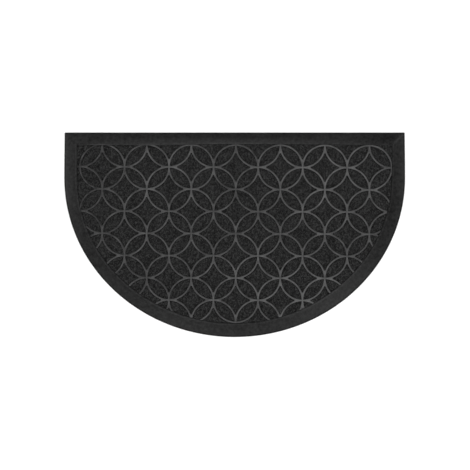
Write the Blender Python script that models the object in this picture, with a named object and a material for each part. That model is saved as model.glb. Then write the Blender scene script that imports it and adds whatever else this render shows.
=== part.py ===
"""Half moon entrance mat: a moulded rubber base with a sloped border, a felt face laid in its tray, and a
raised rubber net of overlapping circles on the felt.

The origin is the bottom centre of the mat's box. +X runs along the straight edge, +Y points to the straight
edge and +Z points up. Lengths are millimetres until a mesh is made, which turns them to metres.
"""

import math

import bmesh
import bpy
import numpy as np

MILLIMETRE = 0.001
GAP = 0.3  # kept between two pieces that touch on the real mat

# Outline: a straight edge, two short sides and half an ellipse
MAT_WIDTH = 750.0
MAT_DEPTH = 450.0
SIDE_LENGTH = 100.0
CORNER_WIDTH = 748.2  # the sides bow out by about a millimetre below the corners
CURVE_STEPS = 72

# Rubber base
BACKING = 2.0  # floor of the tray
# Width of the border, which is uneven: along the straight edge by share of its length from the left, and
# along the curve by degrees from its left end
BORDER_TOP = ((0.0, 27.6), (0.25, 27.4), (0.5, 25.1), (0.75, 26.1), (1.0, 27.6))
BORDER_CURVE = ((0.0, 28.2), (40.0, 29.0), (65.0, 30.2), (135.0, 30.8), (180.0, 29.7))
EDGE_CHAMFER = 0.6
# How the border rises from its outer edge, steepest at the foot: share of its width, height
BORDER_PROFILE = (
    (0.0, 0.6),
    (0.0, 1.5),
    (0.03, 2.2),
    (0.10, 3.0),
    (0.26, 4.3),
    (0.46, 5.4),
    (0.68, 6.2),
    (0.86, 6.6),
    (0.94, 6.6),
    (0.98, 6.4),
    (1.0, 5.9),
)

# Felt face
FELT = 3.0
FELT_BOTTOM = BACKING + GAP
FELT_TOP = FELT_BOTTOM + FELT

# Ridge net: circles on every second point of a square lattice, so each one overlaps its four neighbours
RIDGE_HEIGHT = 1.4
RIDGE_BOTTOM = FELT_TOP + GAP
RIDGE_TOP = RIDGE_BOTTOM + RIDGE_HEIGHT
FOOT_HALF = 1.7  # half the width of a ridge at its foot
CROWN_HALF = 1.2  # and along its top
WEB = 15.8  # how far the web between two ridges that touch reaches from where they touch
PITCH = 48.8  # lattice spacing, which is also the radius of a circle
COLUMNS = 14
ROWS = 8
LATTICE_LEFT = -339.8  # the lattice's first point, from the mat's centre line
LATTICE_TOP = 25.9  # and from the straight edge
PITCH_ACROSS = 48.92  # on the mat the circles are a little wider than they are deep
PITCH_DOWN = 48.70
ROW_TURN = math.radians(-0.25)  # the rows run down a little to the right
COLUMN_TURN = math.radians(-0.08)
ARC_STEPS = 6  # straight runs in a quarter of a circle
NET_MARGIN = 0.4  # between the border and the ends of the ridges
OVERCUT = 1.0  # how far a cutter runs past what it cuts
DIAGONALS = ((1, 1), (-1, 1), (-1, -1), (1, -1))  # a circle's neighbours, in columns and rows

RUBBER = ("moulded_rubber", (0.030, 0.030, 0.031), 0.62)
FELT_CLOTH = ("needle_felt", (0.020, 0.020, 0.020), 0.95)
RIDGE_RUBBER = ("smooth_ridge_rubber", (0.085, 0.085, 0.087), 0.45)


def clear_scene():
    for obj in list(bpy.data.objects):
        bpy.data.objects.remove(obj, do_unlink=True)


def make_material(name, colour, roughness):
    material = bpy.data.materials.new(name)
    material.use_nodes = True
    shader = material.node_tree.nodes["Principled BSDF"]
    shader.inputs["Base Color"].default_value = (*colour, 1.0)
    shader.inputs["Roughness"].default_value = roughness
    shader.inputs["Metallic"].default_value = 0.0
    return material


def add_object(name, mesh_data, finish):
    """An object from a bmesh in millimetres, with its own material."""
    bmesh.ops.recalc_face_normals(mesh_data, faces=mesh_data.faces)
    bmesh.ops.scale(mesh_data, vec=(MILLIMETRE,) * 3, verts=mesh_data.verts)
    mesh = bpy.data.meshes.new(name)
    mesh_data.to_mesh(mesh)
    mesh_data.free()
    obj = bpy.data.objects.new(name, mesh)
    bpy.context.scene.collection.objects.link(obj)
    if finish:
        mesh.materials.append(make_material(*finish))
    return obj


def border_inset():
    """The mat's outline, anticlockwise from the top right corner, as (x, y, inset x, inset y) rows.

    The inset carries an outline point to the border's inner edge.
    """
    top = MAT_DEPTH / 2
    half = MAT_WIDTH / 2
    curve_depth = MAT_DEPTH - SIDE_LENGTH
    curve_start = top - SIDE_LENGTH
    corner = BORDER_TOP[0][1]
    places, widths = zip(*BORDER_CURVE)
    rows = []
    for share, width in reversed(BORDER_TOP):
        rows.append((CORNER_WIDTH * (share - 0.5), top, corner * (1 - 2 * share), -width))
    for step in range(CURVE_STEPS + 1):
        angle = math.pi * (1 + step / CURVE_STEPS)
        x = half * math.cos(angle)
        y = curve_start + curve_depth * math.sin(angle)
        normal_x = -math.cos(angle) / half
        normal_y = -math.sin(angle) / curve_depth
        width = float(np.interp(180 * step / CURVE_STEPS, places, widths))
        share = width / math.hypot(normal_x, normal_y)
        rows.append((x, y, normal_x * share, normal_y * share))
    return rows


def ring(rows, share, further=0.0):
    """Outline points at a share of the inset, and then a few millimetres further in."""
    points = []
    for x, y, inset_x, inset_y in rows:
        length = max(abs(inset_x), abs(inset_y)) if y == MAT_DEPTH / 2 else math.hypot(inset_x, inset_y)
        reach = share + further / length
        points.append((x + inset_x * reach, y + inset_y * reach))
    return points


def close_loops(mesh_data, loops):
    """Walls between loops of vertices, and a flat face on the first and the last."""
    count = len(loops[0])
    for lower, upper in zip(loops, loops[1:]):
        for i in range(count):
            j = (i + 1) % count
            mesh_data.faces.new((lower[i], lower[j], upper[j], upper[i]))
    mesh_data.faces.new(loops[0][::-1])
    mesh_data.faces.new(loops[-1])


def loft(rings):
    """A closed body through rings of points, each given as (points, height)."""
    mesh_data = bmesh.new()
    loops = []
    for points, height in rings:
        loops.append([mesh_data.verts.new((x, y, height)) for x, y in points])
    close_loops(mesh_data, loops)
    return mesh_data


def build_base(border):
    """The tray and its border in one moulding."""
    rings = [(ring(border, 0.0, EDGE_CHAMFER), 0.0)]
    for share, height in BORDER_PROFILE:
        rings.append((ring(border, share), height))
    rings.append((ring(border, 1.0), BACKING))
    return add_object("rubber_base", loft(rings), RUBBER)


def build_felt(border):
    """The flat felt sheet, cut to the tray."""
    outline = ring(border, 1.0, GAP)
    return add_object("felt_face", loft([(outline, FELT_BOTTOM), (outline, FELT_TOP)]), FELT_CLOTH)


def on_mat(across, down):
    """A point of the lattice's own plane, in millimetres from its first point, placed on the mat."""
    across *= PITCH_ACROSS / PITCH
    down *= PITCH_DOWN / PITCH
    x = LATTICE_LEFT + across * math.cos(ROW_TURN) + down * math.sin(COLUMN_TURN)
    y = MAT_DEPTH / 2 - LATTICE_TOP + across * math.sin(ROW_TURN) - down * math.cos(COLUMN_TURN)
    return x, y


def is_circle(column, row):
    return 0 <= column <= COLUMNS and 0 <= row <= ROWS and (column + row) % 2 == 0


def circle_cell(column, row, half):
    """The opening round a circle's centre: what its diagonal neighbours leave of it.

    Towards a neighbour it ends on that neighbour's ridge, and elsewhere on its own ridge. The narrow
    corner between two neighbours is blunt, because a web fills it.
    """
    points = []
    near = [is_circle(column + side_x, row + side_y) for side_x, side_y in DIAGONALS]
    for quarter, (side_x, side_y) in enumerate(DIAGONALS):
        start = quarter * math.pi / 2
        before = near[quarter - 1]
        after = near[(quarter + 1) % len(near)]
        if near[quarter]:
            centre_x = (column + side_x) * PITCH
            centre_y = (row + side_y) * PITCH
            reach = PITCH + half
            first = start - math.pi / 2 - math.asin((WEB * before + half) / reach)
            last = start - math.pi + math.asin((WEB * after + half) / reach)
            angles = [first + (last - first) * step / ARC_STEPS for step in range(ARC_STEPS + 1)]
        else:
            centre_x = column * PITCH
            centre_y = row * PITCH
            reach = PITCH - half
            # The quarters before and after hold the points on the axes between them
            steps = ARC_STEPS - 1 if after else ARC_STEPS
            angles = [start + math.pi / 2 * step / ARC_STEPS for step in range(1, steps + 1)]
        for angle in angles:
            points.append((centre_x + reach * math.cos(angle), centre_y + reach * math.sin(angle)))
    return points


def petal_cell(column, row, half):
    """The lens between two overlapping circles, in the lattice square that starts at this point."""
    if is_circle(column, row):
        ends = ((column, row), (column + 1, row + 1))
    else:
        ends = ((column + 1, row), (column, row + 1))
    if not all(is_circle(*end) for end in ends):
        return None
    reach = PITCH - half
    spread = math.acos(PITCH / math.sqrt(2) / reach)
    points = []
    for (x, y), (other_x, other_y) in (ends, ends[::-1]):
        towards = math.atan2(other_y - y, other_x - x)
        for step in range(ARC_STEPS):
            angle = towards + spread * (2 * step / ARC_STEPS - 1)
            points.append((x * PITCH + reach * math.cos(angle), y * PITCH + reach * math.sin(angle)))
    return points


def add_cutter_cell(mesh_data, foot, crown):
    """A prism through one opening: the feet of the ridges round it at their height, then their crowns."""
    rings = (
        (foot, RIDGE_BOTTOM - OVERCUT),
        (foot, RIDGE_BOTTOM),
        (crown, RIDGE_TOP),
        (crown, RIDGE_TOP + OVERCUT),
    )
    loops = []
    for points, height in rings:
        loops.append([mesh_data.verts.new((*on_mat(*point), height)) for point in points])
    close_loops(mesh_data, loops)


def build_cutter():
    """Every opening between the ridges, as one helper mesh."""
    mesh_data = bmesh.new()
    for row in range(ROWS + 1):
        for column in range(COLUMNS + 1):
            if is_circle(column, row):
                foot = circle_cell(column, row, FOOT_HALF)
                crown = circle_cell(column, row, CROWN_HALF)
                add_cutter_cell(mesh_data, foot, crown)
            foot = petal_cell(column, row, FOOT_HALF)
            if foot:
                add_cutter_cell(mesh_data, foot, petal_cell(column, row, CROWN_HALF))
    cutter = add_object("net_openings", mesh_data, None)
    cutter.hide_render = True
    cutter.display_type = "WIRE"
    return cutter


def net_outline(border):
    """Where the ridges end: near the border, and on the outer side of the last column and the last row."""
    last_x = on_mat(COLUMNS * PITCH, 0.0)[0] + FOOT_HALF
    last_y = on_mat(COLUMNS * PITCH / 2, ROWS * PITCH)[1] - FOOT_HALF
    return [(min(x, last_x), max(y, last_y)) for x, y in ring(border, 1.0, NET_MARGIN)]


def build_net(border):
    """The ridges: a thin sheet of the pattern's outline with every opening cut out of it."""
    outline = net_outline(border)
    net = add_object("ridge_net", loft([(outline, RIDGE_BOTTOM), (outline, RIDGE_TOP)]), RIDGE_RUBBER)
    cut = net.modifiers.new("openings", "BOOLEAN")
    cut.operation = "DIFFERENCE"
    cut.solver = "EXACT"
    cut.object = build_cutter()
    return net


def main():
    clear_scene()
    border = border_inset()
    build_base(border)
    build_felt(border)
    build_net(border)


main()
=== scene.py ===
"""Half moon entrance mat: a needle-punched felt face in a moulded rubber base, with raised rubber ridges in a
pattern of overlapping circles.

The origin is the bottom centre of the mat. +X runs along the straight edge, +Y points to the straight edge
and +Z points up. Lengths are metres.
"""

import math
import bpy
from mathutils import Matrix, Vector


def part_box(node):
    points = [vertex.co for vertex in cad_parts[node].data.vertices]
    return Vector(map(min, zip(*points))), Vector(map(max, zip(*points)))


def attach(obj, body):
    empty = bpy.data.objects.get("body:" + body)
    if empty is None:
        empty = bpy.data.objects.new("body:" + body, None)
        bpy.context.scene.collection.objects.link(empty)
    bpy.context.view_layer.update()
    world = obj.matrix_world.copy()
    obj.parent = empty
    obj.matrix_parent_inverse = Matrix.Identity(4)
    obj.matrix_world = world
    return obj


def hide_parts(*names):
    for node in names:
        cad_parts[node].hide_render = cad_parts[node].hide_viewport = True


bl_info = {
    "name": "Half Moon Entrance Mat",
    "version": (1, 0, 0),
    "blender": (4, 5, 0),
    "location": "3D View > Sidebar > Mat",
    "description": "Builds a half moon entrance mat of rubber and felt, and a plain studio round it",
    "category": "Object",
}

import bmesh
import bpy
import numpy as np
from bpy.props import FloatProperty, IntProperty, PointerProperty, StringProperty
from mathutils import Vector

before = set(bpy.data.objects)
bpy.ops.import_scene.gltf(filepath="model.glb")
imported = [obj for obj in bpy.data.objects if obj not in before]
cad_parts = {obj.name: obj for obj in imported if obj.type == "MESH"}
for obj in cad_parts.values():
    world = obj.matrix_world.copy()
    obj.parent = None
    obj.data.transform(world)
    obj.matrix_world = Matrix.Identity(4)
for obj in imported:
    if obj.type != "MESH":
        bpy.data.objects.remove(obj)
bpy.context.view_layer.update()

MM = 0.001
BODY = "root"

base_low, base_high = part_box("rubber_base")
felt_low, felt_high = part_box("felt_face")
ridge_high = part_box("ridge_net")[1]

# Outline: a straight edge, two short sides and half an ellipse
TOP = base_high[1]
HALF_WIDTH = base_high[0]
SIDE_LENGTH = 100 * MM
SIDE_BOW = 0.9 * MM  # how far the sides stand out below the corners
CURVE_START = TOP - SIDE_LENGTH
CURVE_DEPTH = CURVE_START - base_low[1]
CORNER_HALF = HALF_WIDTH - SIDE_BOW

# The sloped border. Its width in millimetres is uneven: along the straight edge by share of its length from
# the left, and along the curve by degrees from its left end
BORDER_TOP = ((0.0, 27.6), (0.25, 27.4), (0.5, 25.1), (0.75, 26.1), (1.0, 27.6))
BORDER_CURVE = ((0.0, 28.2), (40.0, 29.0), (65.0, 30.2), (135.0, 30.8), (180.0, 29.7))
BACKING = 2.0 * MM  # floor of the tray
CREST = base_high[2]
FELT_TOP = felt_high[2]
GAP = 0.3 * MM  # between the felt and the border
SAME_POINT = 0.005 * MM  # points closer than this are one

# The lattice that carries the circles: one on every second point, so each overlaps its four neighbours
PITCH = 48.8 * MM  # lattice spacing, which is also the radius of a circle
WEB = 15.8 * MM  # how far the web between two ridges that touch reaches from where they touch
COLUMNS = 14
ROWS = 8
LATTICE_LEFT = -339.8 * MM  # the lattice's first point, from the mat's centre line
LATTICE_TOP = 25.9 * MM  # and from the straight edge
PITCH_ACROSS = 48.92 * MM  # on the mat the circles are a little wider than they are deep
PITCH_DOWN = 48.70 * MM
ROW_TURN = math.radians(-0.25)  # the rows run down a little to the right
COLUMN_TURN = math.radians(-0.08)
NET_MARGIN = 0.4 * MM  # between the border and the ends of the ridges
OUTLINE_STEP = 5 * MM  # between points of the line where the ridges end
DIAGONALS = ((1, 1), (-1, 1), (-1, -1), (1, -1))  # a circle's neighbours, in columns and rows

# Relief of the felt: its tufts as share, spacing in millimetres and seed, and how wide a strip is pressed
# down along a ridge and along the border
TUFTS = ((0.6, 3.4, 11), (0.4, 7.0, 12))
RIDGE_PRESS = 3.0 * MM
BORDER_PRESS = 2.4 * MM
NEARLY_NOTHING = 1e-9  # stands in for a nought that would be divided by
OVERCUT = 1 * MM  # how far a cutter runs past what it cuts

# Patches where the border is painted lighter or darker. Most are painted light and shade: light on the left
# and right borders and on the lip along the straight edge, shade on the outer slope along the straight edge,
# and a highlight and shade at the top right mitre. The others make broad parts of the border lighter or
# darker. Each gives x, y, radius across and radius along in millimetres, turn in degrees, and how much
# lighter or darker the rubber is in the middle of the patch
BORDER_TONE_AND_LIGHT_PATCHES = (
    # Painted light along the left border, brightest near its outer edge
    (-378, 110, 34, 260, 0, 0.4),
    (-373, 125, 10, 170, 0, 0.6),
    # Painted light near the outer edge of the right border, and painted shade further in
    (378, 110, 34, 260, 0, 0.75),
    (370, 80, 130, 240, 0, -0.6),
    # Painted highlight on the lip and painted shade on the outer slope along the straight edge
    (-20, 202, 360, 13, 0, 0.7),
    (0, 228, 480, 20, 0, -0.4),
    (210, -135, 160, 120, 0, 0.65),
    (-128, -205, 100, 70, 0, 0.3),
    (-330, -50, 110, 100, 0, -0.25),
    (361, 212, 24, 4, 45, 1.3),  # painted highlight along the mitre at the top right corner
    # Painted shade on the top border beside the mitre
    (338, 214, 36, 13, 0, -0.4),
    (-293, 198, 30, 2.5, 0, 1.3),  # here and in the next, a circle runs into the lip
    (-193, 198, 26, 2.5, 0, 0.9),
)
# Patches where the ridges are painted lighter or darker, as painted light and shade over broad parts of the
# mat, given like the border's patches
RIDGE_PAINTED_LIGHT_PATCHES = (
    (-176, 130, 190, 170, 0, 0.45),
    (190, 130, 190, 170, 0, 0.85),
    (60, -110, 260, 140, 0, 0.5),
    (-370, 110, 160, 240, 0, -0.7),
    (195, -125, 150, 90, 0, 0.65),
)
PLAIN_BELOW = 1.5 * MM  # wear, uneven tone and the patches of painted light and shade fade in from the underside up to this height


class BaseSettings(bpy.types.PropertyGroup):
    """Rubber base with its border"""

    step: FloatProperty(
        name="Step", description="Distance between outline points", default=2.4 * MM, unit="LENGTH"
    )
    unevenness: FloatProperty(
        name="Unevenness",
        description="Height of the slow waves in the border",
        default=0.06 * MM,
        unit="LENGTH",
    )
    grain: FloatProperty(
        name="Grain", description="Spacing of the moulded grain", default=0.9 * MM, unit="LENGTH"
    )
    colour: StringProperty(name="Colour", description="Colour of the rubber, as sRGB hex", default="1d1d1d")


class FeltSettings(bpy.types.PropertyGroup):
    """Felt face and its loose fibres"""

    step: FloatProperty(
        name="Step", description="Distance between points of the sheet", default=1.65 * MM, unit="LENGTH"
    )
    relief: FloatProperty(
        name="Relief", description="Height of the tufts of the felt", default=0.22 * MM, unit="LENGTH"
    )
    pinch: FloatProperty(
        name="Pinch", description="How far the ridges press the felt down", default=0.45 * MM, unit="LENGTH"
    )
    fibres: IntProperty(name="Fibres", description="Loose fibres in each of three layers", default=13500)
    fibre_length: FloatProperty(
        name="Fibre length", description="Usual length of a loose fibre", default=4.5 * MM, unit="LENGTH"
    )
    fibre_width: FloatProperty(
        name="Fibre width", description="Width of a loose fibre", default=0.24 * MM, unit="LENGTH"
    )
    colour: StringProperty(name="Colour", description="Colour of the felt, as sRGB hex", default="181818")


class RidgeSettings(bpy.types.PropertyGroup):
    """Raised ridges"""

    foot: FloatProperty(
        name="Foot", description="Half the width of a ridge at the felt", default=1.7 * MM, unit="LENGTH"
    )
    arc_steps: IntProperty(name="Arc steps", description="Straight runs in a quarter of a circle", default=16)
    colour: StringProperty(name="Colour", description="Colour of the ridges, as sRGB hex", default="393939")


class StageSettings(bpy.types.PropertyGroup):
    """Floor, light and camera"""

    frame_width: FloatProperty(
        name="Frame width", description="Width of the picture at the mat", default=1.0352, unit="LENGTH"
    )
    lens: FloatProperty(name="Lens", description="Focal length in millimetres", default=85.0)
    left: FloatProperty(
        name="Left light", description="Strength of the soft light from the left", default=1.2
    )
    right: FloatProperty(
        name="Right light", description="Strength of the soft light from the right", default=1.15
    )
    front: FloatProperty(
        name="Front light", description="Strength of the soft light from the front", default=1.3
    )
    walls: FloatProperty(name="Walls", description="Strength of the light from the pale walls", default=1.1)
    ceiling: FloatProperty(name="Ceiling", description="Strength of the light from overhead", default=0.5)
    floor: StringProperty(name="Floor", description="Colour of the floor, as sRGB hex", default="f6f6f6")


def linear(hex_colour):
    """An sRGB hex colour as linear red, green, blue and alpha."""
    values = [int(hex_colour[i : i + 2], 16) / 255 for i in (0, 2, 4)]
    return (*(v / 12.92 if v <= 0.04045 else ((v + 0.055) / 1.055) ** 2.4 for v in values), 1.0)


def per_metre(spacing):
    """The scale that gives a pattern this spacing, on coordinates in metres."""
    return 1.0 / spacing


def add_node(tree, kind, values=None, links=None, **settings):
    """One node, with its settings, its input values and its links, given as input: (node, output)."""
    node = tree.nodes.new(kind)
    for name, value in settings.items():
        setattr(node, name, value)
    for name, value in (values or {}).items():
        node.inputs[name].default_value = value
    for name, (source, output) in (links or {}).items():
        tree.links.new(source.outputs[output], node.inputs[name])
    return node


def new_material(name):
    """A material with an empty tree but for its output, and the tree."""
    material = bpy.data.materials.new(name)
    material.use_nodes = True
    tree = material.node_tree
    tree.nodes.clear()
    return material, tree


def finish_material(tree, shader):
    """Joins the shader to a new output."""
    add_node(tree, "ShaderNodeOutputMaterial", links={"Surface": (shader, "BSDF")})


def set_ramp(ramp, stops):
    """Gives a colour ramp its stops, as (position, sRGB hex) pairs."""
    elements = ramp.color_ramp.elements
    while len(elements) > len(stops):
        elements.remove(elements[-1])
    while len(elements) < len(stops):
        elements.new(1.0)
    for element, (position, colour) in zip(elements, stops):
        element.position = position
        element.color = linear(colour)


def shade(hex_colour, factor):
    """An sRGB hex colour made lighter or darker."""
    values = [min(255, round(int(hex_colour[i : i + 2], 16) * factor)) for i in (0, 2, 4)]
    return "".join(f"{v:02x}" for v in values)


def add_wear_and_painted_light(tree, place, noise, low, high, patches):
    """A lightness that a noise varies from low to high, and that patches raise or lower, many of them painted
    light and shade.

    Nearly all of a noise lies between 0.3 and 0.7.
    """
    total = add_node(
        tree,
        "ShaderNodeMapRange",
        {"From Min": 0.3, "From Max": 0.7, "To Min": low, "To Max": high},
        {"Value": (noise, "Fac")},
    )
    output = "Result"
    for x, y, across, along, turn, gain in patches:
        spot = add_node(
            tree,
            "ShaderNodeMapping",
            {
                "Location": (x * MM, y * MM, 0.0),
                "Rotation": (0.0, 0.0, math.radians(turn)),
                "Scale": (across * MM, along * MM, 1.0),
            },
            {"Vector": (place, "Object")},
            vector_type="TEXTURE",
        )
        patch = add_node(
            tree, "ShaderNodeTexGradient", links={"Vector": (spot, "Vector")}, gradient_type="SPHERICAL"
        )
        total = add_node(
            tree,
            "ShaderNodeMath",
            {1: gain},
            {0: (patch, "Fac"), 2: (total, output)},
            operation="MULTIPLY_ADD",
        )
        output = "Value"
    return total


def add_product(tree, colour, lightness):
    """A colour times a lightness, given as nodes, and only the colour on the underside."""
    place = add_node(tree, "ShaderNodeTexCoord")
    position = add_node(tree, "ShaderNodeSeparateXYZ", links={"Vector": (place, "Object")})
    above = add_node(tree, "ShaderNodeMapRange", {"From Max": PLAIN_BELOW}, {"Value": (position, "Z")})
    return add_node(
        tree,
        "ShaderNodeMixRGB",
        links={"Fac": (above, "Result"), "Color1": (colour, "Color"), "Color2": (lightness, "Value")},
        blend_type="MULTIPLY",
    )


def moulded_rubber(settings):
    """Black rubber compound, compression moulded in a sand-blasted tool: matt, with a pebbled grain.

    The grain is drawn two or three times as coarse as a real one. A band low on the outer edge is painted
    near black as painted shade, the slope keeps the rubber's own colour, and the lip is painted lighter as a
    painted highlight.
    """
    material, tree = new_material("Moulded black rubber")
    place = add_node(tree, "ShaderNodeTexCoord")
    position = add_node(tree, "ShaderNodeSeparateXYZ", links={"Vector": (place, "Object")})
    height = add_node(tree, "ShaderNodeMapRange", {"From Max": CREST}, {"Value": (position, "Z")})
    # By height: painted shade in a dark band low on the outer edge, and a painted highlight on the lip
    painted_edge_shade_and_lip_highlight = add_node(tree, "ShaderNodeValToRGB", links={"Fac": (height, "Result")})
    set_ramp(
        painted_edge_shade_and_lip_highlight,
        (
            (0.03, settings.colour),
            (0.08, shade(settings.colour, 0.3)),
            (0.36, shade(settings.colour, 0.3)),
            (0.43, shade(settings.colour, 0.95)),
            (0.62, settings.colour),
            (0.95, settings.colour),
            (0.985, shade(settings.colour, 1.2)),
        ),
    )
    cloud = add_node(
        tree,
        "ShaderNodeTexNoise",
        {"Scale": per_metre(7 * MM), "Detail": 4.0, "Roughness": 0.85},
        {"Vector": (place, "Object")},
    )
    tone = add_product(tree, painted_edge_shade_and_lip_highlight, add_wear_and_painted_light(tree, place, cloud, 0.1, 1.75, BORDER_TONE_AND_LIGHT_PATCHES))
    pebbles = add_node(
        tree,
        "ShaderNodeTexVoronoi",
        {"Scale": per_metre(settings.grain), "Randomness": 1.0},
        {"Vector": (place, "Object")},
        feature="SMOOTH_F1",
    )
    dust = add_node(
        tree,
        "ShaderNodeTexNoise",
        {"Scale": per_metre(2.5 * MM), "Detail": 4.0, "Roughness": 0.65},
        {"Vector": (place, "Object")},
    )
    gloss = add_node(
        tree, "ShaderNodeMapRange", {"To Min": 0.54, "To Max": 0.72}, {"Value": (dust, "Fac")}
    )
    bump = add_node(
        tree,
        "ShaderNodeBump",
        {"Strength": 0.35, "Distance": 0.06 * MM},
        {"Height": (pebbles, "Distance")},
    )
    shader = add_node(
        tree,
        "ShaderNodeBsdfPrincipled",
        {"IOR": 1.50, "Specular IOR Level": 0.12},
        {"Base Color": (tone, "Color"), "Roughness": (gloss, "Result"), "Normal": (bump, "Normal")},
    )
    finish_material(tree, shader)
    return material


def needle_felt(settings):
    """Polypropylene fibre, carded and needle punched: no gloss, a mottled mat of crossing fibres."""
    material, tree = new_material("Needle-punched polypropylene felt")
    place = add_node(tree, "ShaderNodeTexCoord")
    # Tufts: every clump of fibres has its own tone, with a ragged outline
    ragged = add_node(
        tree,
        "ShaderNodeTexNoise",
        {"Scale": per_metre(1.3 * MM), "Detail": 2.0},
        {"Vector": (place, "Object")},
    )
    shifted = add_node(
        tree,
        "ShaderNodeVectorMath",
        {1: (3.0 * MM,) * 3},
        {0: (ragged, "Color"), 2: (place, "Object")},
        operation="MULTIPLY_ADD",
    )
    tufts = add_node(
        tree,
        "ShaderNodeTexVoronoi",
        {"Scale": per_metre(1.9 * MM)},
        {"Vector": (shifted, "Vector")},
    )
    tone = add_node(tree, "ShaderNodeValToRGB", links={"Fac": (tufts, "Color")})
    set_ramp(
        tone,
        ((0.2, shade(settings.colour, 0.1)), (0.5, settings.colour), (0.8, shade(settings.colour, 2.1))),
    )
    # Two lays of fibres, each stretched along its own direction and several times as coarse as real ones
    strands = []
    for turn in (0.45, -0.9):
        lay = add_node(
            tree,
            "ShaderNodeMapping",
            {"Rotation": (0.0, 0.0, turn), "Scale": (0.16, 1.0, 1.0)},
            {"Vector": (place, "Object")},
        )
        strands.append(
            add_node(
                tree,
                "ShaderNodeTexNoise",
                {"Scale": per_metre(0.45 * MM), "Detail": 2.0, "Distortion": 0.6},
                {"Vector": (lay, "Vector")},
            )
        )
    mat_of_fibres = add_node(
        tree,
        "ShaderNodeMath",
        links={0: (strands[0], "Fac"), 1: (strands[1], "Fac")},
        operation="MAXIMUM",
    )
    bump = add_node(
        tree,
        "ShaderNodeBump",
        {"Strength": 0.8, "Distance": 0.25 * MM},
        {"Height": (mat_of_fibres, "Value")},
    )
    shader = add_node(
        tree,
        "ShaderNodeBsdfPrincipled",
        {"Roughness": 0.95, "Specular IOR Level": 0.08, "Sheen Weight": 0.03, "Sheen Roughness": 0.6},
        {"Base Color": (tone, "Color"), "Normal": (bump, "Normal")},
    )
    finish_material(tree, shader)
    return material


def loose_fibre(settings, factor):
    """Single polypropylene fibres: extruded, so a little smoother and shinier than the felt.

    They are drawn several times as thick as real ones, so that they show.
    """
    material, tree = new_material("Extruded polypropylene fibre")
    shader = add_node(
        tree,
        "ShaderNodeBsdfPrincipled",
        {
            "Base Color": linear(shade(settings.colour, factor)),
            "Roughness": 0.7,
            "IOR": 1.49,
            "Specular IOR Level": 0.3,
        },
    )
    finish_material(tree, shader)
    return material


def ridge_rubber(settings):
    """Rubber moulded against a polished tool: smooth and satin, greyer where shoes have rubbed it, and
    painted lighter or darker in broad patches as painted light and shade.
    """
    material, tree = new_material("Smooth moulded rubber ridges")
    place = add_node(tree, "ShaderNodeTexCoord")
    wear = add_node(
        tree,
        "ShaderNodeTexNoise",
        {"Scale": per_metre(22 * MM), "Detail": 5.0, "Roughness": 0.8},
        {"Vector": (place, "Object")},
    )
    grey = add_node(tree, "ShaderNodeRGB")
    grey.outputs["Color"].default_value = linear(settings.colour)
    tone = add_product(tree, grey, add_wear_and_painted_light(tree, place, wear, 0.1, 1.55, RIDGE_PAINTED_LIGHT_PATCHES))
    scuffs = add_node(
        tree,
        "ShaderNodeTexNoise",
        {"Scale": per_metre(1.5 * MM), "Detail": 4.0, "Roughness": 0.7},
        {"Vector": (place, "Object")},
    )
    gloss = add_node(
        tree, "ShaderNodeMapRange", {"To Min": 0.36, "To Max": 0.56}, {"Value": (scuffs, "Fac")}
    )
    bump = add_node(
        tree,
        "ShaderNodeBump",
        {"Strength": 0.2, "Distance": 0.04 * MM},
        {"Height": (scuffs, "Fac")},
    )
    shader = add_node(
        tree,
        "ShaderNodeBsdfPrincipled",
        {"IOR": 1.50, "Specular IOR Level": 0.35},
        {"Base Color": (tone, "Color"), "Roughness": (gloss, "Result"), "Normal": (bump, "Normal")},
    )
    finish_material(tree, shader)
    return material


def studio_floor(settings):
    """Pale painted board: matt and even, so only the mat's soft shadow shows on it."""
    material, tree = new_material("Pale painted studio board")
    shader = add_node(
        tree,
        "ShaderNodeBsdfPrincipled",
        {"Base Color": linear(settings.floor), "Roughness": 0.9, "Specular IOR Level": 0.1},
    )
    finish_material(tree, shader)
    return material


def new_mesh(name, points, faces):
    """A mesh from an array of points and arrays of faces, one array for each number of corners."""
    sizes = np.concatenate([np.full(len(rows), rows.shape[1]) for rows in faces])
    corners = np.concatenate([rows.ravel() for rows in faces])
    mesh = bpy.data.meshes.new(name)
    mesh.vertices.add(len(points))
    mesh.vertices.foreach_set("co", np.asarray(points, np.float32).ravel())
    mesh.loops.add(len(corners))
    mesh.loops.foreach_set("vertex_index", corners.astype(np.int32))
    mesh.polygons.add(len(sizes))
    mesh.polygons.foreach_set("loop_start", np.concatenate([[0], np.cumsum(sizes)[:-1]]).astype(np.int32))
    mesh.update(calc_edges=True)
    if mesh.validate():
        raise RuntimeError(f"{name} has faces that Blender had to mend")
    return mesh


def add_piece(name, mesh, material=None):
    """An object for a mesh, in the scene."""
    obj = bpy.data.objects.new(name, mesh)
    bpy.context.scene.collection.objects.link(obj)
    if material:
        mesh.materials.append(material)
    return obj


def loft(rings):
    """Points and faces of a closed body through rings with the same number of points, with flat ends."""
    count = len(rings[0])
    points = np.concatenate(rings)
    this = np.arange(count)
    following = (this + 1) % count
    walls = []
    for level in range(len(rings) - 1):
        low = level * count
        high = low + count
        walls.append(np.stack([low + this, low + following, high + following, high + this], axis=1))
    last = (len(rings) - 1) * count
    return points, [np.concatenate(walls), this[::-1][None, :], (last + this)[None, :]]


def at_height(outline, height):
    """Outline points as a ring at one height."""
    return np.column_stack([outline, np.full(len(outline), height)])


def border_width(table, place):
    """The border's width in metres at a place of one of its tables."""
    places, widths = zip(*table)
    return np.interp(place, places, widths) * MM


def side_row(side, share, curve_width):
    """A row of border_rows on a short side, the left (-1) or the right (1), a share of the way down it."""
    corner = border_width(BORDER_TOP, 0.0)
    x = CORNER_HALF + SIDE_BOW * math.sin(share * math.pi / 2)
    width = corner + (curve_width - corner) * share
    return (side * x, TOP - SIDE_LENGTH * share, -side * width, -corner * (1 - share))


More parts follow.
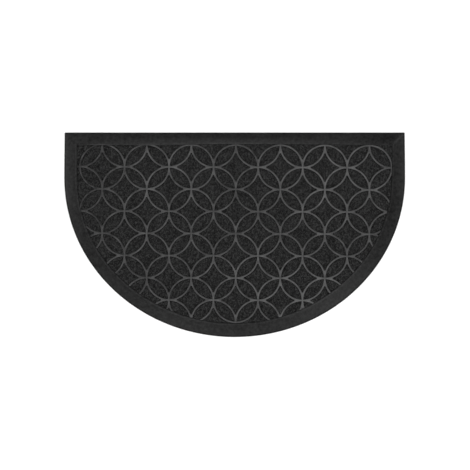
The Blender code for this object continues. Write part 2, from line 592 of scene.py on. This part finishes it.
def border_rows(step):
    """The mat's outline, anticlockwise from the top right corner, as rows of x, y, inset x and inset y.

    The inset carries an outline point to the border's inner edge.
    """
    rows = []
    corner = border_width(BORDER_TOP, 0.0)
    runs = round(2 * CORNER_HALF / step)
    for i in range(runs, -1, -1):
        share = i / runs
        rows.append(
            (
                CORNER_HALF * (2 * share - 1),
                TOP,
                corner * (1 - 2 * share),
                -border_width(BORDER_TOP, share),
            )
        )
    sides = round(SIDE_LENGTH / step)
    for i in range(1, sides):
        rows.append(side_row(-1, i / sides, border_width(BORDER_CURVE, 0.0)))
    curve = round(math.pi * (HALF_WIDTH + CURVE_DEPTH) / 2 / step)
    for i in range(curve + 1):
        angle = math.pi * (1 + i / curve)
        normal_x = -math.cos(angle) / HALF_WIDTH
        normal_y = -math.sin(angle) / CURVE_DEPTH
        share = border_width(BORDER_CURVE, 180 * i / curve) / math.hypot(normal_x, normal_y)
        rows.append(
            (
                HALF_WIDTH * math.cos(angle),
                CURVE_START + CURVE_DEPTH * math.sin(angle),
                normal_x * share,
                normal_y * share,
            )
        )
    for i in range(1, sides):
        rows.append(side_row(1, 1 - i / sides, border_width(BORDER_CURVE, 180.0)))
    return np.array(rows)


def inset_outline(rows, share, further=0.0):
    """The outline at a share of the inset, and then a little further in."""
    reach = share + further / np.abs(rows[:, 2:]).max(axis=1)
    return rows[:, :2] + rows[:, 2:] * reach[:, None]


def soft_noise(x, y, spacing, seed):
    """Smooth random heights from -1 to 1 over a plane, with bumps about one spacing apart."""
    size = 256
    table = np.random.default_rng(seed).uniform(-1.0, 1.0, (size, size))
    across = x / spacing
    along = y / spacing
    i = np.floor(across).astype(int)
    j = np.floor(along).astype(int)
    s = across - i
    t = along - j
    s = s * s * (3 - 2 * s)
    t = t * t * (3 - 2 * t)
    near = table[i % size, j % size] * (1 - s) + table[(i + 1) % size, j % size] * s
    far = table[i % size, (j + 1) % size] * (1 - s) + table[(i + 1) % size, (j + 1) % size] * s
    return near * (1 - t) + far * t


def border_distance(x, y):
    """How far places on the felt lie from the border's inner edge."""
    across = x / HALF_WIDTH
    below = np.maximum(CURVE_START - y, 0.0) / CURVE_DEPTH
    out = np.maximum(np.hypot(across, below), NEARLY_NOTHING)
    steep = np.maximum(np.hypot(across / HALF_WIDTH, below / CURVE_DEPTH) / out, NEARLY_NOTHING)
    round_curve = border_width(BORDER_CURVE, np.degrees(np.arctan2(below, -across)))
    straight = border_width(BORDER_TOP, (x / CORNER_HALF + 1) / 2)
    return np.minimum((1 - out) / steep - round_curve, TOP - y - straight)


def on_mat(across, down):
    """A point of the lattice's own plane, counted from its first point, placed on the mat."""
    across = across * PITCH_ACROSS / PITCH
    down = down * PITCH_DOWN / PITCH
    x = LATTICE_LEFT + across * math.cos(ROW_TURN) + down * math.sin(COLUMN_TURN)
    y = TOP - LATTICE_TOP + across * math.sin(ROW_TURN) - down * math.cos(COLUMN_TURN)
    return x, y


def ridge_distance(x, y):
    """How far places on the mat lie from the middle line of the nearest ridge."""
    turn = np.array(
        [
            [PITCH_ACROSS * math.cos(ROW_TURN), PITCH_DOWN * math.sin(COLUMN_TURN)],
            [PITCH_ACROSS * math.sin(ROW_TURN), -PITCH_DOWN * math.cos(COLUMN_TURN)],
        ]
    )
    offset = np.stack([(x - LATTICE_LEFT).ravel(), (y - TOP + LATTICE_TOP).ravel()])
    column, row = np.linalg.inv(turn) @ offset
    nearest = np.full(column.shape, PITCH)
    for side in (-1, 0, 1):
        for up in (-1, 0, 1):
            centre_column = np.round(column) + side
            centre_row = np.round(row) + up
            there = (centre_column + centre_row) % 2 == 0
            there &= (centre_column >= 0) & (centre_column <= COLUMNS)
            there &= (centre_row >= 0) & (centre_row <= ROWS)
            far = np.abs(np.hypot(column - centre_column, row - centre_row) - 1) * PITCH
            nearest = np.where(there, np.minimum(nearest, far), nearest)
    return nearest.reshape(x.shape)


def felt_height(x, y, settings):
    """Height of the felt's face: tufts, pressed down beside the ridges and along the border."""
    tufts = sum(share * soft_noise(x, y, spacing * MM, seed) for share, spacing, seed in TUFTS)
    pressed = np.exp(-((ridge_distance(x, y) / RIDGE_PRESS) ** 2))
    edge = np.exp(-((border_distance(x, y) / BORDER_PRESS) ** 2))
    return FELT_TOP + settings.relief * tufts - settings.pinch * np.maximum(pressed, edge)


def circle_cell(column, row, half, steps):
    """The opening round a circle's centre: what its diagonal neighbours leave of it.

    Towards a neighbour it ends on that neighbour's ridge, and elsewhere on its own ridge. The narrow
    corner between two neighbours is blunt, because a web fills it.
    """
    points = []
    near = [0 <= column + x <= COLUMNS and 0 <= row + y <= ROWS for x, y in DIAGONALS]
    for quarter, (side_x, side_y) in enumerate(DIAGONALS):
        start = quarter * math.pi / 2
        before = near[quarter - 1]
        after = near[(quarter + 1) % len(near)]
        if near[quarter]:
            centre = ((column + side_x) * PITCH, (row + side_y) * PITCH)
            reach = PITCH + half
            first = start - math.pi / 2 - math.asin((WEB * before + half) / reach)
            last = start - math.pi + math.asin((WEB * after + half) / reach)
            angles = np.linspace(first, last, steps + 1)
        else:
            centre = (column * PITCH, row * PITCH)
            reach = PITCH - half
            # The quarters before and after hold the points on the axes between them
            angles = (start + math.pi / 2 * np.arange(1, steps + 1) / steps)[: steps - after]
        for angle in angles:
            points.append(on_mat(centre[0] + reach * math.cos(angle), centre[1] + reach * math.sin(angle)))
    return points


def petal_cell(column, row, half, steps):
    """The lens between two overlapping circles, in the lattice square that starts at this point."""
    if (column + row) % 2 == 0:
        ends = ((column, row), (column + 1, row + 1))
    else:
        ends = ((column + 1, row), (column, row + 1))
    reach = PITCH - half
    spread = math.acos(PITCH / math.sqrt(2) / reach)
    points = []
    for (x, y), (other_x, other_y) in (ends, ends[::-1]):
        towards = math.atan2(other_y - y, other_x - x)
        for step in range(steps):
            angle = towards + spread * (2 * step / steps - 1)
            points.append(on_mat(x * PITCH + reach * math.cos(angle), y * PITCH + reach * math.sin(angle)))
    return points


def join_bodies(bodies):
    """Points and faces of several bodies as one."""
    points = []
    faces = []
    start = 0
    for body_points, body_faces in bodies:
        points.append(body_points)
        faces.extend(rows + start for rows in body_faces)
        start += len(body_points)
    return np.concatenate(points), faces


def split_large_faces(obj):
    """Joins points that coincide, and splits faces with more than four corners into even triangles."""
    mesh_data = bmesh.new()
    mesh_data.from_mesh(obj.data)
    bmesh.ops.dissolve_degenerate(mesh_data, edges=mesh_data.edges, dist=SAME_POINT)
    large = [face for face in mesh_data.faces if len(face.verts) > 4]
    bmesh.ops.triangulate(mesh_data, faces=large, ngon_method="BEAUTY")
    mesh_data.to_mesh(obj.data)
    mesh_data.free()


def boolean_result(obj, other, operation):
    """Gives obj the mesh of a Boolean with other, and removes other."""
    cut = obj.modifiers.new("cut", "BOOLEAN")
    cut.operation = operation
    cut.solver = "MANIFOLD"
    cut.object = other
    evaluated = obj.evaluated_get(bpy.context.evaluated_depsgraph_get())
    mesh = bpy.data.meshes.new_from_object(evaluated)
    obj.modifiers.clear()
    old = obj.data
    obj.data = mesh
    bpy.data.meshes.remove(old)
    bpy.data.objects.remove(other, do_unlink=True)
    if not mesh.polygons:
        raise RuntimeError(f"{obj.name}: the Boolean left nothing")
    split_large_faces(obj)


def smooth(obj, sharp_degrees):
    """Smooth shading, but for edges that turn by more than an angle."""
    obj.data.shade_smooth()
    obj.data.set_sharp_from_angle(angle=math.radians(sharp_degrees))


class MAT_OT_rubber_base(bpy.types.Operator):
    """Build the rubber base with its sloped border"""

    bl_idname = "half_moon_mat.rubber_base"
    bl_label = "Rubber Base"

    # The upright outer edge as (further in, height) in millimetres, and the rounding over it
    OUTER_EDGE = ((0.6, 0.0), (0.15, 0.2), (0.0, 0.6), (0.0, 1.1))
    ROUNDING_IN = 0.8 * MM
    ROUNDING_UP = 0.9 * MM
    ROUNDING_STEPS = 4
    # The slope, steepest at its foot, and a low lip along the felt, by shares of the border's width
    FOOT_HEIGHT = 2.1 * MM
    SLOPE_START = 0.035
    SLOPE_POWER = 1.9
    SLOPE_STEPS = 16
    LIP_HEIGHT = 0.3 * MM
    LIP_START = 0.87
    LIP_STEPS = 4
    CREST_START = 0.90
    CREST_END = 0.97
    ROLL_OFF = 0.7 * MM  # how far the lip rolls down to the felt
    ROLL_STEPS = 6
    WAVE_SPACING = 24 * MM
    WAVE_SEED = 5

    def profile(self):
        """The border's section, underside to tray, as (share of the width, further in, height)."""
        rows = [(0.0, further * MM, height * MM) for further, height in self.OUTER_EDGE]
        rim = rows[-1][2]
        for step in range(1, self.ROUNDING_STEPS + 1):
            angle = math.pi / 2 * step / self.ROUNDING_STEPS
            further = self.ROUNDING_IN * (1 - math.cos(angle))
            rows.append((0.0, further, rim + self.ROUNDING_UP * math.sin(angle)))
        slope_top = CREST - self.LIP_HEIGHT
        for step in range(1, self.SLOPE_STEPS + 1):
            share = self.SLOPE_START + (self.LIP_START - self.SLOPE_START) * step / self.SLOPE_STEPS
            rise = 1 - (1 - step / self.SLOPE_STEPS) ** self.SLOPE_POWER
            rows.append((share, 0.0, self.FOOT_HEIGHT + (slope_top - self.FOOT_HEIGHT) * rise))
        for step in range(1, self.LIP_STEPS + 1):
            share = self.LIP_START + (self.CREST_START - self.LIP_START) * step / self.LIP_STEPS
            rise = (1 - math.cos(math.pi * step / self.LIP_STEPS)) / 2
            rows.append((share, 0.0, slope_top + self.LIP_HEIGHT * rise))
        for step in range(self.ROLL_STEPS + 1):
            angle = math.pi / 2 * step / self.ROLL_STEPS
            share = self.CREST_END + (1 - self.CREST_END) * math.sin(angle)
            rows.append((share, 0.0, CREST - self.ROLL_OFF * (1 - math.cos(angle))))
        rows.append((1.0, 0.0, BACKING))
        return rows

    def execute(self, context):
        settings = context.scene.mat_base
        rows = border_rows(settings.step)
        rings = []
        for share, further, height in self.profile():
            ring = at_height(inset_outline(rows, share, further), height)
            if height > BACKING:
                wave = soft_noise(ring[:, 0], ring[:, 1], self.WAVE_SPACING, self.WAVE_SEED)
                ring[:, 2] += settings.unevenness * wave * min(height / FELT_TOP, 1.0)
            rings.append(ring)
        mesh = new_mesh("rubber_base_moulding", *loft(rings))
        obj = add_piece("rubber_base_moulding", mesh, moulded_rubber(settings))
        split_large_faces(obj)
        smooth(obj, sharp_degrees=50)
        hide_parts("rubber_base")
        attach(obj, BODY)
        return {"FINISHED"}


class MAT_OT_felt_face(bpy.types.Operator):
    """Build the felt sheet with its uneven face"""

    bl_idname = "half_moon_mat.felt_face"
    bl_label = "Felt Face"

    MARGIN = 4 * MM  # how far the rectangle that the sheet is cut from runs past it
    TRIM_STEP = 4 * MM  # between points of the line that it is cut along

    def slab(self, settings):
        """A rectangle of felt, a little larger than the tray."""
        across = np.arange(felt_low[0] - self.MARGIN, felt_high[0] + self.MARGIN, settings.step)
        along = np.arange(felt_low[1] - self.MARGIN, felt_high[1] + self.MARGIN, settings.step)
        x, y = np.meshgrid(across, along, indexing="ij")
        top = np.column_stack([x.ravel(), y.ravel(), felt_height(x, y, settings).ravel()])
        index = np.arange(len(across) * len(along)).reshape(x.shape)
        corners = [index[:-1, :-1], index[1:, :-1], index[1:, 1:], index[:-1, 1:]]
        squares = np.stack(corners, axis=-1).reshape(-1, 4)
        rim = np.concatenate([index[:-1, 0], index[-1, :-1], index[:0:-1, -1], index[0, :0:-1]])
        bottom = top[rim].copy()
        bottom[:, 2] = felt_low[2]
        low = len(top) + np.arange(len(rim))
        sides = np.stack([low, np.roll(low, -1), np.roll(rim, -1), rim], axis=1)
        return np.concatenate([top, bottom]), [squares, sides, low[::-1][None, :]]

    def execute(self, context):
        settings = context.scene.mat_felt
        sheet = add_piece("felt_sheet", new_mesh("felt_sheet", *self.slab(settings)))
        outline = inset_outline(border_rows(self.TRIM_STEP), 1.0, GAP)
        rings = [at_height(outline, felt_low[2] - OVERCUT), at_height(outline, FELT_TOP + self.MARGIN)]
        cutter = add_piece("felt_cutter", new_mesh("felt_cutter", *loft(rings)))
        boolean_result(sheet, cutter, "INTERSECT")
        sheet.data.materials.clear()
        sheet.data.materials.append(needle_felt(settings))
        smooth(sheet, sharp_degrees=60)
        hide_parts("felt_face")
        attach(sheet, BODY)
        return {"FINISHED"}


class MAT_OT_felt_fibres(bpy.types.Operator):
    """Build the loose fibres that lie on the felt, in three shades"""

    bl_idname = "half_moon_mat.felt_fibres"
    bl_label = "Felt Fibres"

    SHADES = (0.5, 1.0, 2.2)  # of the three layers, against the felt's colour
    FIRST_SEED = 41
    CLEARANCE = 2.0 * MM  # kept free along the border
    BEND = 0.45  # usual turn of a fibre along its length, in radians
    LENGTH_RANGE = (0.55, 1.35)
    WIDTH_RANGE = (0.75, 1.25)
    LIFT_RANGE = (0.05, 0.32)  # how far the middle of a fibre stands off the felt, in millimetres
    END_DEPTH = 0.15 * MM  # how far its ends lie in the felt
    SIDE_ANGLES = (math.pi / 2, math.pi * 7 / 6, math.pi * 11 / 6)

    def places(self, rng, count):
        """Random places on the felt, clear of the border."""
        x = rng.uniform(felt_low[0], felt_high[0], 3 * count)
        y = rng.uniform(felt_low[1], felt_high[1], 3 * count)
        clear = border_distance(x, y) > self.CLEARANCE
        return x[clear][:count], y[clear][:count]

    def fibres(self, rng, settings):
        """Points and faces of many short bent fibres, three-sided, with both ends in the felt."""
        x, y = self.places(rng, settings.fibres)
        count = len(x)
        heading = rng.uniform(0.0, 2 * math.pi, count)
        bend = rng.normal(0.0, self.BEND, count)
        length = settings.fibre_length * rng.uniform(*self.LENGTH_RANGE, count)
        radius = settings.fibre_width / 2 * rng.uniform(*self.WIDTH_RANGE, count)
        lift = rng.uniform(*self.LIFT_RANGE, count) * MM
        spine = []
        for share in (-0.5, 0.0, 0.5):
            turned = heading + bend * share
            px = x + share * length * np.cos(turned)
            py = y + share * length * np.sin(turned)
            rise = lift if share == 0.0 else -self.END_DEPTH
            side = np.column_stack([-np.sin(turned), np.cos(turned), np.zeros(count)])
            spine.append((np.column_stack([px, py, felt_height(px, py, settings) + rise]), side))
        up = np.array([0.0, 0.0, 1.0])
        corners = []
        for centre, side in spine:
            for angle in self.SIDE_ANGLES:
                out = side * math.cos(angle) + up * math.sin(angle)
                corners.append(centre + out * radius[:, None])
        points = np.stack(corners, axis=1).reshape(-1, 3)
        first = (np.arange(count) * len(corners))[:, None]
        walls = []
        for ring in (0, 3):
            for corner in range(3):
                following = (corner + 1) % 3
                near = [ring + corner, ring + following]
                far = [ring + 3 + following, ring + 3 + corner]
                walls.append(first + np.array(near + far))
        ends = np.concatenate([first + np.array([2, 1, 0]), first + np.array([6, 7, 8])])
        return points, [np.concatenate(walls), ends]

    def execute(self, context):
        settings = context.scene.mat_felt
        for layer, factor in enumerate(self.SHADES):
            rng = np.random.default_rng(self.FIRST_SEED + layer)
            name = f"felt_fibres_{layer + 1}"
            obj = add_piece(name, new_mesh(name, *self.fibres(rng, settings)), loose_fibre(settings, factor))
            obj.data.shade_smooth()
            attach(obj, BODY)
        return {"FINISHED"}


class MAT_OT_ridge_net(bpy.types.Operator):
    """Build the rounded ridges of the circle pattern"""

    bl_idname = "half_moon_mat.ridge_net"
    bl_label = "Ridge Net"

    # A ridge's section from its foot to its crown: share of the foot's half width, share of the height
    SECTION = ((1.0, 0.0), (0.98, 0.35), (0.93, 0.62), (0.84, 0.82), (0.72, 0.95), (0.56, 1.0))
    # The ridges are moulded through the felt, so they start below its face
    ROOT_DEPTH = 1.0 * MM
    FOOT_DEPTH = 0.4 * MM

    def net_outline(self, settings, further):
        """Where the ridges end: near the border, and on the outer side of the last column and row."""
        last_x = on_mat(COLUMNS * PITCH, 0.0)[0] + settings.foot - further
        last_y = on_mat(COLUMNS * PITCH / 2, ROWS * PITCH)[1] - settings.foot + further
        outline = inset_outline(border_rows(OUTLINE_STEP), 1.0, NET_MARGIN + further)
        return np.column_stack([np.minimum(outline[:, 0], last_x), np.maximum(outline[:, 1], last_y)])

    def cells(self, half, steps):
        """The outline of every opening of the pattern, for one half width of the ridges."""
        found = []
        for row in range(ROWS + 1):
            for column in range(COLUMNS + 1):
                if (column + row) % 2 == 0:
                    found.append(circle_cell(column, row, half, steps))
                if column < COLUMNS and row < ROWS:
                    found.append(petal_cell(column, row, half, steps))
        return [np.array(cell) for cell in found]

    def execute(self, context):
        settings = context.scene.mat_ridges
        root = FELT_TOP - self.ROOT_DEPTH
        foot = FELT_TOP - self.FOOT_DEPTH
        crown = ridge_high[2]
        levels = [(1.0, root)] + [(width, foot + (crown - foot) * rise) for width, rise in self.SECTION]
        slab_rings = []
        for width, height in levels:
            slab_rings.append(at_height(self.net_outline(settings, settings.foot * (1 - width)), height))
        net = add_piece("ridge_net_rounded", new_mesh("ridge_net_rounded", *loft(slab_rings)))
        cut_levels = [(1.0, root - OVERCUT)] + levels + [(self.SECTION[-1][0], crown + OVERCUT)]
        layers = [self.cells(settings.foot * width, settings.arc_steps) for width, _ in cut_levels]
        bodies = []
        for outlines in zip(*layers):
            # The lattice counts its rows downwards, so its outlines run clockwise on the mat
            rings = [at_height(outline[::-1], height) for outline, (_, height) in zip(outlines, cut_levels)]
            bodies.append(loft(rings))
        cutter = add_piece("ridge_openings", new_mesh("ridge_openings", *join_bodies(bodies)))
        boolean_result(net, cutter, "DIFFERENCE")
        net.data.materials.clear()
        net.data.materials.append(ridge_rubber(settings))
        smooth(net, sharp_degrees=40)
        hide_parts("ridge_net")
        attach(net, BODY)
        return {"FINISHED"}


class MAT_OT_stage(bpy.types.Operator):
    """Build the floor, the light and the camera"""

    bl_idname = "half_moon_mat.stage"
    bl_label = "Stage"

    FLOOR_REACH = 8.0  # from its middle, in metres
    LIGHT_SPREAD = math.radians(50)
    SENSOR_WIDTH = 36.0  # in millimetres
    AIM = (0.7 * MM, -0.3 * MM)  # the place on the mat under the middle of the picture

    def add_sun(self, scene, name, towards, strength):
        """A wide soft light, so far away that it is even over the whole floor."""
        sun = bpy.data.lights.new(name, "SUN")
        sun.energy = strength
        sun.angle = self.LIGHT_SPREAD
        lamp = bpy.data.objects.new(name, sun)
        lamp.rotation_euler = Vector(towards).to_track_quat("Z", "Y").to_euler()
        scene.collection.objects.link(lamp)

    def execute(self, context):
        settings = context.scene.mat_stage
        scene = context.scene
        corners = self.FLOOR_REACH * np.array([(-1.0, -1.0), (1.0, -1.0), (1.0, 1.0), (-1.0, 1.0)])
        floor_mesh = new_mesh("studio_floor", at_height(corners, base_low[2]), [np.array([[0, 1, 2, 3]])])
        add_piece("studio_floor", floor_mesh, studio_floor(settings))

        self.add_sun(scene, "left_light", (-1.0, -0.15, 0.45), settings.left)
        self.add_sun(scene, "right_light", (1.0, -0.25, 0.5), settings.right)
        self.add_sun(scene, "front_light", (0.1, -0.8, 0.9), settings.front)

        # Pale walls all round under a darker ceiling
        world = bpy.data.worlds.new("studio_light")
        world.use_nodes = True
        tree = world.node_tree
        place = add_node(tree, "ShaderNodeTexCoord")
        direction = add_node(tree, "ShaderNodeSeparateXYZ", links={"Vector": (place, "Generated")})
        strength = add_node(
            tree,
            "ShaderNodeMapRange",
            {"To Min": settings.walls, "To Max": settings.ceiling},
            {"Value": (direction, "Z")},
        )
        background = tree.nodes["Background"]
        background.inputs["Color"].default_value = (1.0, 1.0, 1.0, 1.0)
        tree.links.new(strength.outputs["Result"], background.inputs["Strength"])
        scene.world = world
        scene.view_settings.view_transform = "Standard"

        camera = bpy.data.cameras.new("camera")
        camera.lens = settings.lens
        camera.sensor_width = self.SENSOR_WIDTH
        distance = settings.frame_width * settings.lens / camera.sensor_width
        eye = bpy.data.objects.new("camera", camera)
        eye.location = (*self.AIM, distance)
        scene.collection.objects.link(eye)
        scene.camera = eye
        return {"FINISHED"}


class MAT_PT_sidebar(bpy.types.Panel):
    """Buttons and settings of the mat"""

    bl_idname = "MAT_PT_sidebar"
    bl_label = "Half Moon Mat"
    bl_space_type = "VIEW_3D"
    bl_region_type = "UI"
    bl_category = "Mat"

    def draw(self, context):
        for settings, operators in PANEL_ROWS:
            box = self.layout.box()
            group = getattr(context.scene, settings)
            for name in group.__annotations__:
                box.prop(group, name)
            for operator in operators:
                box.operator(operator.bl_idname)


PANEL_ROWS = (
    ("mat_base", (MAT_OT_rubber_base,)),
    ("mat_felt", (MAT_OT_felt_face, MAT_OT_felt_fibres)),
    ("mat_ridges", (MAT_OT_ridge_net,)),
    ("mat_stage", (MAT_OT_stage,)),
)
SETTINGS = {
    "mat_base": BaseSettings,
    "mat_felt": FeltSettings,
    "mat_ridges": RidgeSettings,
    "mat_stage": StageSettings,
}
CLASSES = (
    *SETTINGS.values(),
    MAT_OT_rubber_base,
    MAT_OT_felt_face,
    MAT_OT_felt_fibres,
    MAT_OT_ridge_net,
    MAT_OT_stage,
    MAT_PT_sidebar,
)


def register():
    for cls in CLASSES:
        bpy.utils.register_class(cls)
    for name, settings in SETTINGS.items():
        setattr(bpy.types.Scene, name, PointerProperty(type=settings))


def unregister():
    for name in SETTINGS:
        delattr(bpy.types.Scene, name)
    for cls in reversed(CLASSES):
        bpy.utils.unregister_class(cls)


def main():
    register()
    bpy.ops.half_moon_mat.stage()
    bpy.ops.half_moon_mat.rubber_base()
    bpy.ops.half_moon_mat.felt_face()
    bpy.ops.half_moon_mat.felt_fibres()
    bpy.ops.half_moon_mat.ridge_net()


if __name__ == "__main__":
    main()
